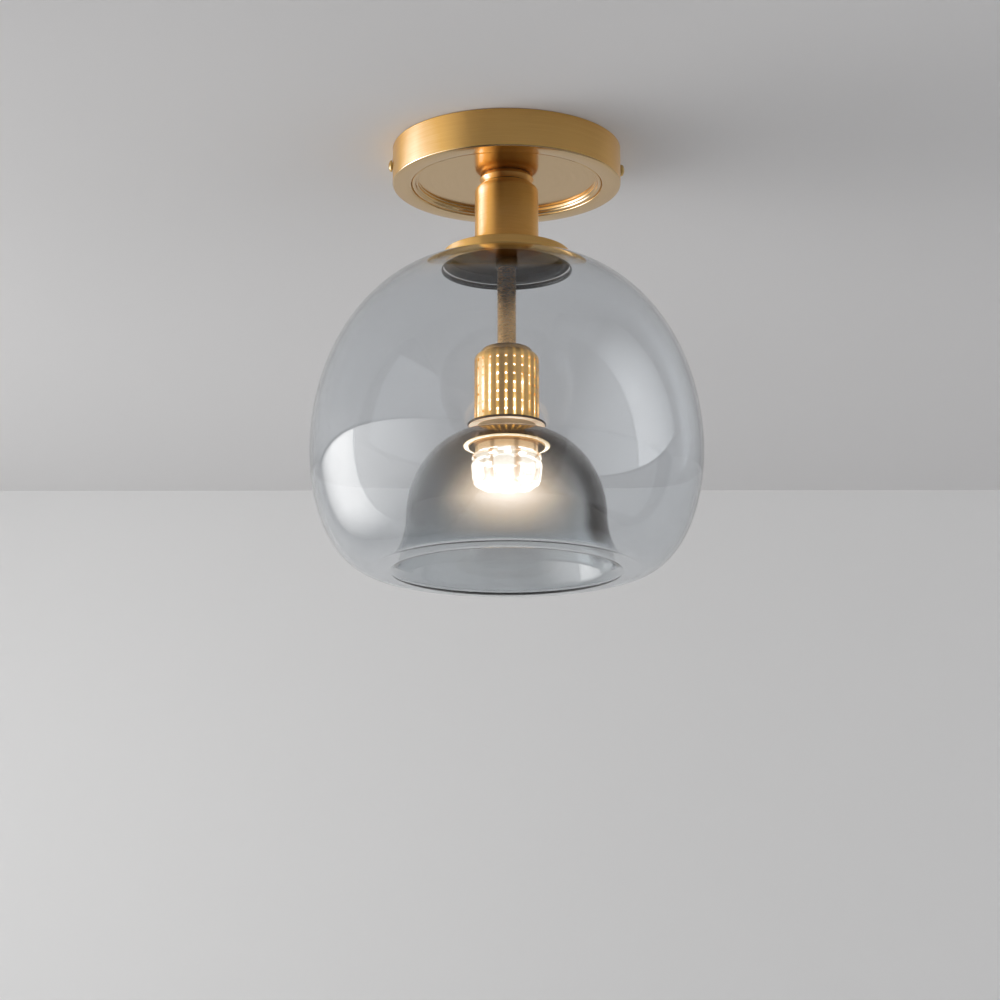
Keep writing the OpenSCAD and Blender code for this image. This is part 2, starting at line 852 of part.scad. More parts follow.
mounting_bar();
earth_screw();
terminal_block();
terminal_screws();
led_driver();
mains_live_lead();
mains_neutral_lead();
earth_lead();
led_lead_positive();
led_lead_negative();
canopy();
side_screw_left();
side_screw_right();
nipple();
nipple_nut();
lock_washer();
neck();
shade_cap();
mouth_ring();
stem_collar();
stem();
stem_nut();
holder_cap();
holder_sleeve();
sleeve_liner();
lamp_socket();
socket_contacts();
flange_ring();
upper_gasket();
globe_mouth();
globe_shoulder();
globe_belly();
globe_bottom();
dome_crown();
dome_wall();
dome_skirt();
lower_gasket();
module_housing();
glow_ring();
led_board();
led_chips();
crystal_lens();
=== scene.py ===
# %% [markdown]
# # A glass ceiling light
#
# The lamp is a brushed brass canopy with a neck, a flat cap and a smoke grey glass globe. The globe's
# bottom turns in and up again as a second glass dome, which is clamped round a lit lamp module.
# Blender works in metres. The origin is on the ceiling, on the lamp's axis, so all heights are negative.
# The CAD model of every piece is loaded first. Most visible pieces are then made again with finer curves.

# %% Load the frame
import math

import bmesh
import bpy
from mathutils import Matrix, Vector


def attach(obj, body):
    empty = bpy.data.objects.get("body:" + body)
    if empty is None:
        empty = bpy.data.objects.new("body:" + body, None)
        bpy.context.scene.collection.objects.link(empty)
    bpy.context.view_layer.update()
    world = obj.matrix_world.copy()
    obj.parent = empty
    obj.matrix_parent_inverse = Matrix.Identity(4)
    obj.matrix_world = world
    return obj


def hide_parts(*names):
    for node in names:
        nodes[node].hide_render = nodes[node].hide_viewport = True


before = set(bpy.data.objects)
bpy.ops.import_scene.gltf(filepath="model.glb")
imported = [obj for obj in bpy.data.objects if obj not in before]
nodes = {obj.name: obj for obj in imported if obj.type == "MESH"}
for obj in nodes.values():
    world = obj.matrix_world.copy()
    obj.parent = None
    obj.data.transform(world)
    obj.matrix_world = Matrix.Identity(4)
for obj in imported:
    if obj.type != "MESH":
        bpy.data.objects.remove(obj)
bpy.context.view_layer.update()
MM = 0.001

# %% [markdown]
# ## Helpers
#
# Nearly every piece of this lamp is turned or blown, so its shape is one outline spun round the axis.
# The outline is written in millimetres as pairs of radius and height. A lathe works the same way, and a
# Screw modifier could do it too, but the spin operator gives a finished mesh at once. It can leave its
# faces in another order from run to run, so they are sorted, and the mesh is always the same.

# %% Draw and spin an outline
def arc(mid_r, mid_z, wide, high, start, end, steps):
    """Points on part of an ellipse, angles in degrees."""
    angles = [math.radians(start + (end - start) * i / steps) for i in range(steps + 1)]
    return [(mid_r + wide * math.cos(a), mid_z + high * math.sin(a)) for a in angles]


def spun(name, outline, steps=192, closed=True, crisp=None):
    """A mesh object made by spinning an outline once round the Z axis; edges sharper than crisp stay hard."""
    bm = bmesh.new()
    verts = [bm.verts.new((r * MM, 0, z * MM)) for r, z in outline]
    pairs = list(zip(verts, verts[1:] + verts[:1])) if closed else list(zip(verts, verts[1:]))
    edges = [bm.edges.new(pair) for pair in pairs]
    bmesh.ops.spin(bm, geom=verts + edges, cent=(0, 0, 0), axis=(0, 0, 1), angle=math.tau,
                   steps=steps, use_merge=True, use_duplicate=False)
    bmesh.ops.remove_doubles(bm, verts=bm.verts, dist=1e-6)
    bmesh.ops.recalc_face_normals(bm, faces=bm.faces)
    bm.verts.index_update()
    count = len(bm.verts)
    bm.faces.sort(key=lambda face: min(v.index for v in face.verts) * count + max(v.index for v in face.verts))
    mesh = bpy.data.meshes.new(name)
    bm.to_mesh(mesh)
    bm.free()
    mesh.shade_smooth()
    if crisp:
        mesh.set_sharp_from_angle(angle=math.radians(crisp))
    piece = bpy.data.objects.new(name, mesh)
    bpy.context.scene.collection.objects.link(piece)
    print(name, len(mesh.vertices), "vertices,", len(mesh.polygons), "faces")
    return piece


# %% [markdown]
# A finished piece rides on one of the lamp's moving bodies. It also says which CAD nodes it stands for, and
# those are then hidden.

# %% Dress a body with a piece
def dress(piece, body, slot_name, *replaced):
    """Hang a finished piece on its body and say which CAD nodes it stands for."""
    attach(piece, body)
    if replaced:
        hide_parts(*replaced)
    return piece


# %% [markdown]
# ## Materials from nodes
#
# A finish is a small tree of nodes that ends in one Principled shader. The helpers below each make one
# node, set it and join it, so that every finish stays short to read.

# %% Start a material
def new_material(name):
    """An empty node material with its output and one Principled shader."""
    material = bpy.data.materials.new(name)
    material.use_nodes = True
    tree = material.node_tree
    tree.nodes.clear()
    out = tree.nodes.new("ShaderNodeOutputMaterial")
    shader = tree.nodes.new("ShaderNodeBsdfPrincipled")
    tree.links.new(shader.outputs[0], out.inputs["Surface"])
    return material, tree, shader, out


# %% Numbers, noise and colours
def math_node(tree, operation, *values):
    """A Math node; each input is a number or a socket."""
    node = tree.nodes.new("ShaderNodeMath")
    node.operation = operation
    for socket, value in zip(node.inputs, values):
        if isinstance(value, (int, float)):
            socket.default_value = value
        else:
            tree.links.new(value, socket)
    return node.outputs[0]


def product(tree, first, *others):
    """Several factors multiplied together."""
    result = first
    for factor in others:
        result = math_node(tree, "MULTIPLY", result, factor)
    return result


def noise(tree, vector, scale, detail=2.0, rough=0.5):
    """Soft random patches, with a value from 0 to 1."""
    node = tree.nodes.new("ShaderNodeTexNoise")
    tree.links.new(vector, node.inputs["Vector"])
    node.inputs["Scale"].default_value = scale
    node.inputs["Detail"].default_value = detail
    node.inputs["Roughness"].default_value = rough
    return node.outputs["Fac"]


def between(tree, factor, low, high, from_low=0.0, from_high=1.0):
    """Map a factor that runs from from_low to from_high to a number from low to high."""
    node = tree.nodes.new("ShaderNodeMapRange")
    tree.links.new(factor, node.inputs["Value"])
    node.inputs["From Min"].default_value = from_low
    node.inputs["From Max"].default_value = from_high
    node.inputs["To Min"].default_value = low
    node.inputs["To Max"].default_value = high
    return node.outputs["Result"]


def blend_colours(tree, factor, a, b):
    """Mix two colours by a factor; each is a colour or a socket."""
    node = tree.nodes.new("ShaderNodeMix")
    node.data_type = "RGBA"
    tree.links.new(factor, node.inputs["Factor"])
    for socket, colour in ((node.inputs["A"], a), (node.inputs["B"], b)):
        if isinstance(colour, tuple):
            socket.default_value = (*colour, 1)
        else:
            tree.links.new(colour, socket)
    return node.outputs["Result"]


def bump(tree, shader, height, distance, strength):
    """Tiny unevenness that only tilts the shading."""
    node = tree.nodes.new("ShaderNodeBump")
    node.inputs["Distance"].default_value = distance
    node.inputs["Strength"].default_value = strength
    tree.links.new(height, node.inputs["Height"])
    tree.links.new(node.outputs["Normal"], shader.inputs["Normal"])


# %% [markdown]
# A pattern has to know where on the piece it is. Object coordinates are the piece's own, in metres, so
# the pattern stays put when the piece moves. Lathe marks run round the axis, so their noise changes fast
# along the outline and slowly round it.

# %% Places on a piece
def own_place(tree):
    """The piece's own coordinates as a vector, then as x, y and z."""
    place = tree.nodes.new("ShaderNodeTexCoord").outputs["Object"]
    parts = tree.nodes.new("ShaderNodeSeparateXYZ")
    tree.links.new(place, parts.inputs[0])
    x, y, z = parts.outputs
    return place, x, y, z


def from_axis(tree, x, y):
    """Distance from the lamp's axis."""
    squares = math_node(tree, "ADD", product(tree, x, x), product(tree, y, y))
    return math_node(tree, "SQRT", squares)


def lathe_coordinates(tree, along, around):
    """Noise coordinates for lathe marks: along the outline, and the direction round the axis."""
    place, x, y, z = own_place(tree)
    radius = math_node(tree, "MAXIMUM", from_axis(tree, x, y), 1e-5)
    join = tree.nodes.new("ShaderNodeCombineXYZ")
    tree.links.new(product(tree, math_node(tree, "DIVIDE", x, radius), around), join.inputs[0])
    tree.links.new(product(tree, math_node(tree, "DIVIDE", y, radius), around), join.inputs[1])
    outline_run = math_node(tree, "ADD", z, product(tree, radius, 0.83))
    tree.links.new(product(tree, outline_run, along), join.inputs[2])
    return join.outputs[0]


# %% [markdown]
# ## Brass
#
# Every brass piece was brushed while it turned, so fine lines run round the axis. One recipe serves them
# all: noise that is stretched round the axis changes the colour, the roughness and the bump a little. The
# anisotropy spreads a highlight across the brush lines, as a brushed surface does. A thin clear coat
# stands for the lacquer.

# %% Brushed brass
def turned_brass(name, colour, deep, rough, anisotropy=0.85, coat=0.35):
    material, tree, shader, out = new_material(name)
    fine = noise(tree, lathe_coordinates(tree, 2600, 2.2), 1.0, 3.0, 0.6)
    broad = noise(tree, lathe_coordinates(tree, 700, 0.6), 1.0, 2.0, 0.5)
    both = math_node(tree, "ADD", product(tree, fine, 0.75), product(tree, broad, 0.25))
    tree.links.new(blend_colours(tree, between(tree, both, 0, 1, 0.3, 0.7), deep, colour),
                   shader.inputs["Base Color"])
    tree.links.new(between(tree, both, rough - 0.05, rough + 0.05, 0.3, 0.7), shader.inputs["Roughness"])
    shader.inputs["Metallic"].default_value = 1.0
    shader.inputs["Anisotropic"].default_value = anisotropy
    shader.inputs["Anisotropic Rotation"].default_value = 0.25
    shader.inputs["Coat Weight"].default_value = coat
    shader.inputs["Coat Roughness"].default_value = 0.16
    shader.inputs["Coat IOR"].default_value = 1.5
    bump(tree, shader, fine, 0.005 * MM, 0.6)
    return material


brushed_brass = turned_brass("brushed brass", (0.95, 0.59, 0.19), (0.86, 0.49, 0.14), 0.42, 0.95, coat=0.35)
neck_brass = turned_brass("neck brass", (1.0, 0.58, 0.17), (0.90, 0.48, 0.11), 0.42, 0.96, coat=0.3)
under_brass = turned_brass("satin underside", (0.64, 0.44, 0.215), (0.56, 0.37, 0.165), 0.16, 0.3, coat=0.3)
# Painted shade: polished brass made nearly black for the underside of the cap.
shaded_cap_underside = turned_brass("cap underside painted shade", (0.075, 0.045, 0.018), (0.05, 0.03, 0.012), 0.12, 0.2, coat=0.0)
holder_brass = turned_brass("holder brass", (0.70, 0.43, 0.16), (0.56, 0.31, 0.10), 0.40, 0.93, coat=0.7)
stem_brass = turned_brass("stem brass", (0.95, 0.58, 0.26), (0.74, 0.43, 0.16), 0.27, 0.93, coat=0.4)
module_brass = turned_brass("module brass", (0.78, 0.56, 0.34), (0.68, 0.46, 0.26), 0.3)
screw_brass = turned_brass("screw brass", (0.72, 0.48, 0.17), (0.62, 0.40, 0.13), 0.3)


# %% [markdown]
# ## Sleeve brass
#
# Each column of the sleeve's holes stands in a thin gold line of painted glow on the brushed wall. It stands
# for the light that leaks out of the holes and runs up and down between them. The line follows the angle round
# the axis.

# %% Sleeve brass
def sleeve_brass_and_glow(columns, first_column):
    material = turned_brass("sleeve brass with painted glow", (1.0, 0.62, 0.20), (0.88, 0.48, 0.12), 0.40, 0.94, coat=0.5)
    tree = material.node_tree
    shader = next(node for node in tree.nodes if node.type == "BSDF_PRINCIPLED")
    place, x, y, z = own_place(tree)
    angle = math_node(tree, "SUBTRACT", math_node(tree, "ARCTAN2", y, x), first_column)
    wave = math_node(tree, "ABSOLUTE", math_node(tree, "COSINE", product(tree, angle, columns / 2)))
    line = between(tree, wave, 0.0, 1.0, 0.72, 1.0)
    stretch = tree.nodes.new("ShaderNodeVectorMath")
    stretch.operation = "MULTIPLY"
    tree.links.new(place, stretch.inputs[0])
    stretch.inputs[1].default_value = (1, 1, 0.45)
    uneven = between(tree, noise(tree, stretch.outputs["Vector"], 190, 1.0), 0.15, 1.0, 0.38, 0.62)
    towards_lamp = between(tree, z, 0.15, 1.0, -0.1145, -0.1300)
    # Painted glow: gold emission along each column of holes, fading towards the top.
    shader.inputs["Emission Color"].default_value = (1.0, 0.56, 0.10, 1)
    tree.links.new(product(tree, line, uneven, towards_lamp, 1.7), shader.inputs["Emission Strength"])
    return material


sleeve_brass_painted_glow = sleeve_brass_and_glow(24, math.radians(10.5))

# %% [markdown]
# ## Plain finishes
#
# Plated steel, plastic, rubber and lead insulation share one simple recipe: a colour that varies a
# little, a roughness that varies a little, and a fine grain. Few real surfaces are quite even.

# %% Plain finishes
def plain(name, colour, rough, metallic=0.0):
    material, tree, shader, out = new_material(name)
    place, x, y, z = own_place(tree)
    grains = noise(tree, place, 1800, 3.0)
    patches = noise(tree, place, 60, 2.0)
    dark = tuple(c * 0.88 for c in colour)
    tree.links.new(blend_colours(tree, patches, dark, colour), shader.inputs["Base Color"])
    tree.links.new(between(tree, grains, rough - 0.05, rough + 0.05), shader.inputs["Roughness"])
    shader.inputs["Metallic"].default_value = metallic
    bump(tree, shader, grains, 0.004 * MM, 0.5)
    return material


steel = plain("plated steel", (0.62, 0.62, 0.6), 0.32, 1.0)
plain_brass = plain("plain brass", (0.78, 0.58, 0.28), 0.3, 1.0)
# Painted shade: near-black steel for the stem collar under the cap.
collar_shade_steel = plain("collar steel painted shade", (0.035, 0.028, 0.022), 0.35, 0.6)
rubber = plain("dark rubber", (0.013, 0.015, 0.018), 0.5)
pale_silicone = plain("pale silicone", (0.62, 0.5, 0.34), 0.5)
white_plastic = plain("white plastic", (0.8, 0.8, 0.77), 0.45)
ceramic = plain("ceramic", (0.85, 0.84, 0.8), 0.2)
board_white = plain("board white", (0.88, 0.88, 0.84), 0.35)
insulation = {
    "mains_live_lead": plain("brown insulation", (0.12, 0.045, 0.02), 0.4),
    "mains_neutral_lead": plain("blue insulation", (0.02, 0.07, 0.4), 0.4),
    "earth_lead": plain("green insulation", (0.05, 0.3, 0.04), 0.4),
    "led_lead_positive": plain("red insulation", (0.5, 0.02, 0.015), 0.4),
    "led_lead_negative": plain("black insulation", (0.015, 0.015, 0.015), 0.4),
}


# %% [markdown]
# ## Things that light up
#
# The chips are small and very bright. The liner behind the sleeve's holes, the ring round the flange and
# the underside of the flange ring glow too, because the chips fill them with light. Real light could find
# its way there, but it would take very long to render, so these surfaces give out light themselves. The
# liner is seen best straight on, through its holes, and fades where it is seen aslant.

# %% Glowing finishes
def glowing(name, colour, strength, base=(0.9, 0.9, 0.88), straight_on=False, grain=300, vary=0.1):
    material, tree, shader, out = new_material(name)
    place, x, y, z = own_place(tree)
    power = between(tree, noise(tree, place, grain), strength * (1 - vary), strength * (1 + vary), 0.3, 0.7)
    if straight_on:
        facing = tree.nodes.new("ShaderNodeLayerWeight").outputs["Facing"]
        power = product(tree, power, between(tree, facing, 1.0, 0.06, 0.08, 0.42))
    tree.links.new(power, shader.inputs["Emission Strength"])
    shader.inputs["Emission Color"].default_value = (*colour, 1)
    shader.inputs["Base Color"].default_value = (*base, 1)
    shader.inputs["Roughness"].default_value = 0.3
    return material


chip_glow = glowing("led phosphor", (1.0, 0.78, 0.50), 3.6)
liner_glow = glowing("lit liner", (1.0, 0.72, 0.32), 2.4, straight_on=True, grain=200, vary=0.6)
ring_glow = glowing("glowing ring", (1.0, 0.82, 0.50), 2.9)
lit_satin = glowing("lit satin", (1.0, 0.76, 0.52), 0.72, base=(0.60, 0.45, 0.30), grain=70, vary=0.4)
# Painted shade: dark brown metal for the neck's groove and the flange's rolled edge.
painted_shade_edge = plain("painted shade edge", (0.09, 0.055, 0.03), 0.28, 0.7)

# %% [markdown]
# ## Crystal
#
# The lens is clear crystal full of light. Its lobes are nearly white. The seams between them, and the small
# facets underneath, bend the light away and look orange. Its top, above the level of the collar, is not clear:
# it is a gold seat with a painted glow.

# %% Crystal
LENS_SEAM = math.radians(-120.3)
LENS_LOBES = 8


def crystal_glass(name):
    material, tree, shader, out = new_material(name)
    place, x, y, z = own_place(tree)
    angle = math_node(tree, "SUBTRACT", math_node(tree, "ARCTAN2", y, x), LENS_SEAM)
    lobes = math_node(tree, "ABSOLUTE", math_node(tree, "SINE", product(tree, angle, LENS_LOBES / 2)))
    broken = noise(tree, place, 260, 2.0, 0.7)
    seam = between(tree, lobes, 1.0, 0.0, 0.10, 0.42)
    low = between(tree, z, 1.0, 0.0, -0.1825, -0.1760)
    facet = product(tree, low, between(tree, broken, 0.0, 1.0, 0.45, 0.60))
    dim = math_node(tree, "MAXIMUM", product(tree, seam, 0.8), facet)
    # Painted glow: the top of the lens is opaque gold and gives out extra light, for a lit seat.
    glowing_seat = between(tree, z, 0.0, 1.0, -0.1655, -0.1648)
    lit_colour = blend_colours(tree, dim, (1.0, 0.89, 0.70), (1.0, 0.58, 0.28))
    tree.links.new(blend_colours(tree, glowing_seat, lit_colour, (1.0, 0.72, 0.42)), shader.inputs["Emission Color"])
    power = product(tree, between(tree, dim, 0.68, 0.16), between(tree, glowing_seat, 1.0, 1.7))
    tree.links.new(power, shader.inputs["Emission Strength"])
    body_colour = blend_colours(tree, dim, (1.0, 1.0, 1.0), (0.62, 0.36, 0.18))
    tree.links.new(blend_colours(tree, glowing_seat, body_colour, (0.7, 0.45, 0.22)), shader.inputs["Base Color"])
    tree.links.new(between(tree, glowing_seat, 1.0, 0.0), shader.inputs["Transmission Weight"])
    shader.inputs["IOR"].default_value = 1.5
    tree.links.new(between(tree, broken, 0.01, 0.06), shader.inputs["Roughness"])
    return material


crystal = crystal_glass("crystal")


# %% [markdown]
# ## Smoke glass
#
# Real smoke glass is tinted all the way through, so it looks darker where the view runs along its wall.
# An absorption volume does that. Its colour is the same all over, as the shade is one closed mesh with one
# material. The inner dome is smokier than the globe and brown at its crown, so its base colour changes from
# place to place. The dome's edge on the side turned away from the diffuser, where it is seen aslant, is
# painted near black as painted shade.

# %% Colours of the glass
GLOBE_TINT = (0.950, 0.956, 0.963)
DOME_TINT, DOME_LOW_TINT = (0.66, 0.65, 0.635), (0.75, 0.77, 0.78)
CROWN_TINT, PAINTED_SHADE_TINT = (0.60, 0.47, 0.36), (0.045, 0.030, 0.020)
VOLUME_TINT, VOLUME_DENSITY = (0.40, 0.50, 0.58), 60


def glass_colours_and_shade(tree, x, y, z, facing):
    """Nearly clear on the globe and smoky on the dome, with painted shade on the dome's edge away from the
    diffuser.
    """
    under_holder = between(tree, z, 1.0, 0.0, -0.1515, -0.1500)
    near_axis = between(tree, from_axis(tree, x, y), 1.0, 0.0, 0.0560, 0.0600)
    dome = product(tree, under_holder, near_axis)
    wall = blend_colours(tree, between(tree, z, 0.0, 1.0, -0.215, -0.198), DOME_LOW_TINT, DOME_TINT)
    smoky = blend_colours(tree, between(tree, z, 0.0, 1.0, -0.176, -0.156), wall, CROWN_TINT)
    # Painted shade: the dome's edge, seen aslant on the side away from the diffuser, turns near black.
    to_right = between(tree, x, 0.12, 1.0, -0.030, 0.020)
    to_crown = between(tree, z, 1.0, 0.6, -0.170, -0.156)
    over_rim = between(tree, z, 0.0, 1.0, -0.221, -0.212)
    shaded_dome_edge = product(tree, dome, to_right, to_crown, over_rim, between(tree, facing, 0.0, 1.0, 0.38, 0.52))
    return blend_colours(tree, shaded_dome_edge, blend_colours(tree, dome, GLOBE_TINT, smoky), PAINTED_SHADE_TINT)


# %% [markdown]
# The dome's wall in front of the lit lens is painted with a soft warm glow, a painted haze for the light that
# fine dust and the glass itself scatter there. Only the near outer face gives out this light: the mesh marks
# the outer face with an attribute, and Backfacing leaves out the far side.

# %% Haze
def painted_lamp_haze(tree, z, facing):
    """Strongest where the wall is seen straight on, at the level of the lens."""
    over_rim = between(tree, z, 0.0, 1.0, -0.223, -0.200)
    under_crown = between(tree, z, 1.0, 0.0, -0.180, -0.158)
    centre = math_node(tree, "POWER", between(tree, facing, 1.0, 0.0, 0.0, 0.45), 3.4)
    marked = tree.nodes.new("ShaderNodeAttribute")
    marked.attribute_name = "outside"
    behind = tree.nodes.new("ShaderNodeNewGeometry").outputs["Backfacing"]
    near_face = product(tree, marked.outputs["Fac"], math_node(tree, "SUBTRACT", 1.0, behind))
    return product(tree, near_face, over_rim, under_crown, centre, 1.5)


# %% Smoke glass
def smoke_glass(name):
    material, tree, shader, out = new_material(name)
    place, x, y, z = own_place(tree)
    facing = tree.nodes.new("ShaderNodeLayerWeight").outputs["Facing"]
    waves = noise(tree, place, 22, 1.0)
    shader.inputs["Transmission Weight"].default_value = 1.0
    shader.inputs["IOR"].default_value = 1.5
    tree.links.new(between(tree, waves, 0.0, 0.01), shader.inputs["Roughness"])
    bump(tree, shader, waves, 0.25 * MM, 0.12)
    tree.links.new(glass_colours_and_shade(tree, x, y, z, facing), shader.inputs["Base Color"])
    # Painted glow: the warm haze on the dome's outer face.
    shader.inputs["Emission Color"].default_value = (1.0, 0.76, 0.52, 1)
    tree.links.new(painted_lamp_haze(tree, z, facing), shader.inputs["Emission Strength"])
    absorb = tree.nodes.new("ShaderNodeVolumeAbsorption")
    absorb.inputs["Color"].default_value = (*VOLUME_TINT, 1)
    absorb.inputs["Density"].default_value = VOLUME_DENSITY
    tree.links.new(absorb.outputs[0], out.inputs["Volume"])
    return material


shade_glass = smoke_glass("smoke glass")

# %% [markdown]
# ## The glass shade
#
# Globe and inner dome are one blown piece, so they are one mesh. Its outline goes down the outside of the
# globe, round the rim, up inside the dome to its flat land, through the hole for the lamp module, and back
# along the hidden side of the wall. Each curve is drawn twice, once for each side of the wall.

# %% Curves of the glass
WALL = 2.2
GLOBE_R, GLOBE_Z = 101.3, -163.6
MOUTH_R, HOLE_R = 33.6, 11.2
SHOULDER_MID, SHOULDER_HIGH = 22.8, 101.6
BELLY_MID, BELLY_HIGH = 67.2, 63.2
DOME_MID, DOME_WIDE, DOME_HIGH, DOME_Z = 10.4, 41.0, 45.6, -198.1
LAND_R = 15.5
RIM_R, RIM_Z, BEND = 59.55, -227.6, 3.9
BEND_Z = RIM_Z + BEND + WALL
BEND_START = 19


def dome_wall(inside):
    """The dome from its flat land down to the start of the bend at the rim."""
    wide, high = DOME_WIDE - inside, DOME_HIGH - inside
    land = math.degrees(math.acos((LAND_R - DOME_MID) / wide))
    curve = arc(DOME_MID, DOME_Z, wide, high, land, 0, 48)
    foot_r = DOME_MID + DOME_WIDE
    end_r = RIM_R - BEND * math.cos(math.radians(BEND_START))
    end_z = BEND_Z - BEND * math.sin(math.radians(BEND_START))
    steps = 24
    flare = [(foot_r - inside + (end_r - foot_r) * (i / steps) ** 1.9, DOME_Z + (end_z - DOME_Z) * i / steps)
             for i in range(1, steps + 1)]
    return curve + flare


def globe_wall(inside):
    """The globe from its mouth down to where the bottom runs level."""
    wide = GLOBE_R - SHOULDER_MID - inside
    mouth = math.degrees(math.acos((MOUTH_R - SHOULDER_MID) / wide))
    upper = arc(SHOULDER_MID, GLOBE_Z, wide, SHOULDER_HIGH - inside, mouth, 0, 56)
    lower = arc(BELLY_MID, GLOBE_Z, GLOBE_R - BELLY_MID - inside, BELLY_HIGH - inside, -2.5, -90, 44)
    return upper + lower


# %% Glass shade
outer = globe_wall(0) + arc(RIM_R, BEND_Z, BEND + WALL, BEND + WALL, 270, 202, 10)
up = list(reversed(dome_wall(WALL)))
down = dome_wall(0)
hole = [(HOLE_R, up[-1][1]), (HOLE_R, down[0][1])]
back = arc(RIM_R, BEND_Z, BEND, BEND, 202, 270, 10) + list(reversed(globe_wall(WALL)))
shade = spun("glass_shade", outer + up + hole + down + back, 224)
shade.data.materials.append(shade_glass)
glass_nodes = [name for name in nodes if name.startswith(("globe_", "dome_"))]
dress(shade, "shade", "smoke_glass", *glass_nodes)

# %% [markdown]
# The painted haze needs to know which vertices are on the dome's outer face. They are those inside the rim and
# under the holder whose normals point away from the axis.

# %% Mark the dome's outer face
outside = shade.data.attributes.new("outside", "FLOAT", "POINT")
for vertex, mark in zip(shade.data.vertices, outside.data):
    on_dome = vertex.co.xy.length < 57 * MM and vertex.co.z < -151 * MM
    mark.value = float(on_dome and vertex.normal.xy.dot(vertex.co.xy) > 0)
print("marked vertices:", sum(mark.value > 0 for mark in outside.data))

# %% [markdown]
# ## Canopy
#
# The canopy is a spun drum. Its underside is a recessed plate with two small rolled steps round it,
# which catch a bright line each. The steps are arcs here, so they have no hard corners. The holes for the
# side screws are drilled afterwards: a Boolean modifier takes a rod away, and the result is kept as a
# plain mesh.

# %% Drill a piece
def cut_with(piece, cutter):
    """Cut one object out of another and keep the result as the piece's own mesh."""
    modifier = piece.modifiers.new("cut", "BOOLEAN")
    modifier.object = cutter
    modifier.solver = "EXACT"
    bpy.context.view_layer.update()
    solid = piece.evaluated_get(bpy.context.evaluated_depsgraph_get())
    mesh = bpy.data.meshes.new_from_object(solid)
    piece.modifiers.clear()
    old = piece.data
    piece.data = mesh
    bpy.data.meshes.remove(old)
    bpy.data.objects.remove(cutter)


def rod(name, radius, length, height):
    """A round bar along X at one height, used to cut holes."""
    bm = bmesh.new()
    place = Matrix.Translation((0, 0, height * MM)) @ Matrix.Rotation(math.radians(90), 4, "Y")
    bmesh.ops.create_cone(bm, cap_ends=True, segments=48, radius1=radius * MM, radius2=radius * MM,
                          depth=length * MM, matrix=place)
    mesh = bpy.data.meshes.new(name)
    bm.to_mesh(mesh)
    bm.free()
    bar = bpy.data.objects.new(name, mesh)
    bpy.context.scene.collection.objects.link(bar)
    return bar


# %% Canopy
CANOPY_R, CANOPY_WALL, CANOPY_LOW, CORNER = 60, 1.2, -20, 0.9
PLATE_Z, PLATE_THICK = -16.6, 1.6
BORE_R = 4
SCREW_HOLE_R, SCREW_Z = 2.25, -10

side = [(CANOPY_R, 0)] + arc(CANOPY_R - CORNER, CANOPY_LOW + CORNER, CORNER, CORNER, 0, -90, 6)
lip = arc(51.0, -19.2, 0.8, 0.8, -90, -180, 5)
bead = arc(48.9, -18.3, 1.2, 1.2, -10, -165, 10)
small_bead = arc(47.2, -17.8, 0.6, 0.6, -60, -180, 6) + [(46.6, -16.9), (46.2, PLATE_Z)]
inside = [(BORE_R, PLATE_Z), (BORE_R, PLATE_Z + PLATE_THICK),
          (CANOPY_R - CANOPY_WALL, PLATE_Z + PLATE_THICK), (CANOPY_R - CANOPY_WALL, 0)]
canopy = spun("brass_canopy", side + lip + bead + small_bead + inside, 256)
cut_with(canopy, rod("hole cutter", SCREW_HOLE_R, 124, SCREW_Z))
canopy.data.set_sharp_from_angle(angle=math.radians(35))
canopy.data.materials.clear()
canopy.data.materials.append(brushed_brass)
canopy.data.materials.append(under_brass)
for face in canopy.data.polygons:
    face.material_index = int(face.normal.z < -0.3 and face.center.z < (PLATE_Z + 0.6) * MM)
dress(canopy, "fixture", "brushed_brass", "canopy")

# %% [markdown]
# ## Neck and cap
#
# The neck is turned from tube. Its top is rounded in, has a small groove, and widens again up to the canopy. A
# groove a turner cuts is part of the outline here too, and its faces get painted shade, a dark brown metal.

# %% Neck
NECK_LOW = -57.4
neck_top = [(14.6, PLATE_Z - 4.7), (14.2, PLATE_Z - 4.5), (13.9, PLATE_Z - 3.2), (12.4, PLATE_Z - 3.0),
            (12.2, PLATE_Z - 2.3), (13.8, PLATE_Z - 0.6), (14.2, PLATE_Z), (8, PLATE_Z)]
neck = spun("brass_neck", [(8, NECK_LOW), (16.4, NECK_LOW), (16.7, NECK_LOW + 0.3)]
            + arc(15.1, PLATE_Z - 7.8, 1.6, 3.0, 0, 80, 12) + neck_top, 160, crisp=40)
neck.data.materials.append(neck_brass)
neck.data.materials.append(painted_shade_edge)
# Painted shade on the groove's faces.
for face in neck.data.polygons:
    face.material_index = int((PLATE_Z - 3.1) * MM < face.center.z < (PLATE_Z - 2.2) * MM)
dress(neck, "fixture", "neck_brass", "neck")

# %% [markdown]
# The cap is a flat plug with a short skirt, and closes the glass mouth. Its underside is polished brass
# painted nearly black, as painted shade under the cap. Inside the skirt sits a dark soft ring with a lip that
# covers the skirt's edge.

# %% Cap and dark ring
CAP_UNDER = NECK_LOW - 1.4
CAP_R, SKIRT_R, SKIRT_LOW = 33.3, 32.1, NECK_LOW - 4.6
RING_R, RING_LOW = 30.1, SKIRT_LOW - 0.9
cap = spun("brass_cap", [(BORE_R, CAP_UNDER), (SKIRT_R, CAP_UNDER), (SKIRT_R, SKIRT_LOW), (CAP_R, SKIRT_LOW)]
           + arc(CAP_R - 0.7, NECK_LOW - 0.7, 0.7, 0.7, 0, 90, 6) + [(BORE_R, NECK_LOW)], 192, crisp=40)
cap.data.materials.append(brushed_brass)
cap.data.materials.append(shaded_cap_underside)
